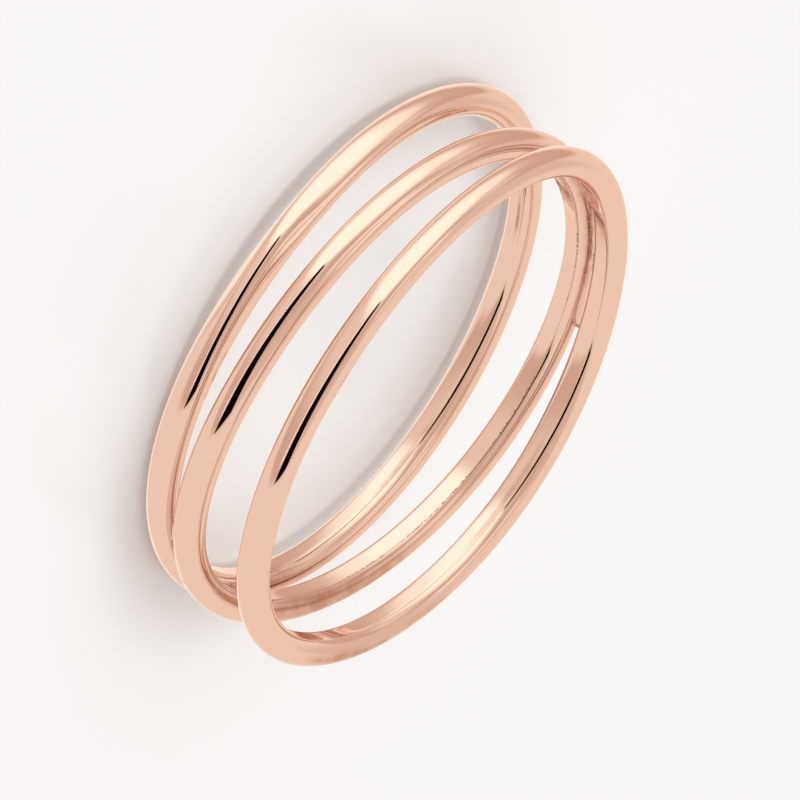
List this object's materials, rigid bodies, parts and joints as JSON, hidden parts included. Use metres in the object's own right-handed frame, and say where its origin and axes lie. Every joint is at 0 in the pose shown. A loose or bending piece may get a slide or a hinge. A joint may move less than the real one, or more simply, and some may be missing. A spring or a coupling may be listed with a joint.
{
  "type": "stackable ring",
  "caption": "Finger ring of slim round-wire bands soldered together in a zigzag, with open wedges between them, in polished rose gold.",
  "frame": {"origin": "middle of the ring's outline seen from above, at the height of the surface it lies on", "axes": "+Z along the finger hole, from the lower band to the upper band; +X towards the side where the middle and upper bands are soldered together; +Y towards the open side that the picture looks at"},
  "size_m": [0.0196, 0.0194, 0.0053],
  "materials": {
    "rose_gold": "high polish"
  },
  "bodies": {
    "root": {"soldered_wire_bands": "rose_gold"}
  },
  "joints": []
}
